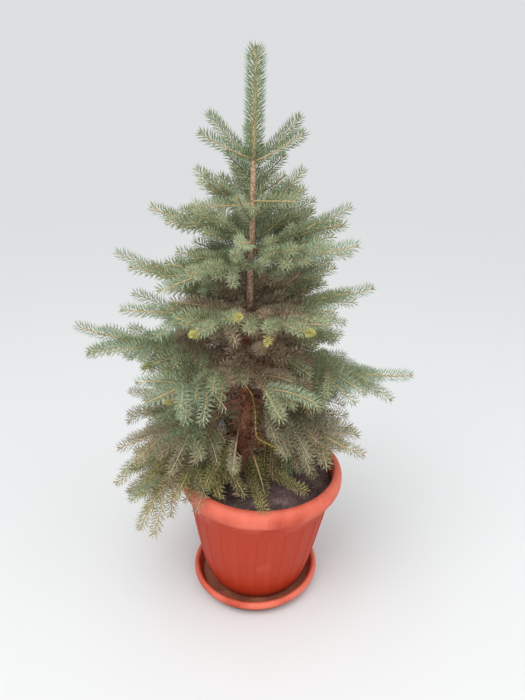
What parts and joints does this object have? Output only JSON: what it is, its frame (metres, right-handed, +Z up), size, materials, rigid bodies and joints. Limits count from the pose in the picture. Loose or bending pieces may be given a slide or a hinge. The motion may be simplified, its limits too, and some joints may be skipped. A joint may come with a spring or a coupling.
{
  "type": "potted blue spruce",
  "caption": "Young blue spruce with layered boughs of short stiff needles and an upright leader, growing in a round ribbed pot with a rolled rim that stands in a shallow saucer.",
  "frame": {"origin": "centre of the saucer's flat underside, on the ground", "axes": "+Z up along the trunk; +X to the right and +Y away from the viewer in the picture"},
  "size_m": [0.9583, 0.7819, 1.568],
  "materials": {
    "pot_plastic": "satin moulded polypropylene",
    "saucer_plastic": "satin moulded polypropylene",
    "potting_soil": "crumbly, matt and moist",
    "trunk_bark": "scaly matt bark",
    "bough_bark": "rough matt bark",
    "needles_upper": "waxy",
    "needles_lower": "waxy"
  },
  "bodies": {
    "root": {"saucer": "saucer_plastic", "pot": "pot_plastic", "soil": "potting_soil", "trunk": "trunk_bark", "leader_needles": "needles_upper", "foliage_top_1": "needles_upper", "foliage_top_2": "needles_upper", "foliage_top_3": "needles_upper", "foliage_top_4": "needles_upper", "foliage_top_5": "needles_upper", "foliage_second_1": "needles_upper", "foliage_second_2": "needles_upper", "foliage_second_3": "needles_upper", "foliage_second_4": "needles_upper", "foliage_second_5": "needles_upper", "foliage_second_6": "needles_upper", "foliage_upper_1": "needles_upper", "foliage_upper_2": "needles_upper", "foliage_upper_3": "needles_upper", "foliage_upper_4": "needles_upper", "foliage_upper_5": "needles_upper", "foliage_upper_6": "needles_upper", "foliage_upper_7": "needles_upper", "foliage_middle_1": "needles_upper", "foliage_middle_2": "needles_upper", "foliage_middle_3": "needles_upper", "foliage_middle_4": "needles_upper", "foliage_middle_5": "needles_upper", "foliage_middle_6": "needles_upper", "foliage_middle_7": "needles_upper", "bough_lower_1": "bough_bark", "foliage_lower_1": "needles_lower", "bough_lower_2": "bough_bark", "foliage_lower_2": "needles_lower", "bough_lower_3": "bough_bark", "foliage_lower_3": "needles_lower", "bough_lower_4": "bough_bark", "foliage_lower_4": "needles_lower", "bough_lower_5": "bough_bark", "foliage_lower_5": "needles_lower", "bough_lower_6": "bough_bark", "foliage_lower_6": "needles_lower", "foliage_skirt_1": "needles_lower", "foliage_skirt_2": "needles_lower", "foliage_skirt_3": "needles_lower", "foliage_skirt_4": "needles_lower", "foliage_skirt_5": "needles_lower", "foliage_skirt_6": "needles_lower", "bough_lowest_1": "bough_bark", "foliage_lowest_1": "needles_lower", "bough_lowest_2": "bough_bark", "foliage_lowest_2": "needles_lower", "bough_lowest_3": "bough_bark", "foliage_lowest_3": "needles_lower", "bough_lowest_4": "bough_bark", "foliage_lowest_4": "needles_lower", "bough_lowest_5": "bough_bark", "foliage_lowest_5": "needles_lower", "bough_lowest_6": "bough_bark", "foliage_lowest_6": "needles_lower"}
  },
  "joints": []
}
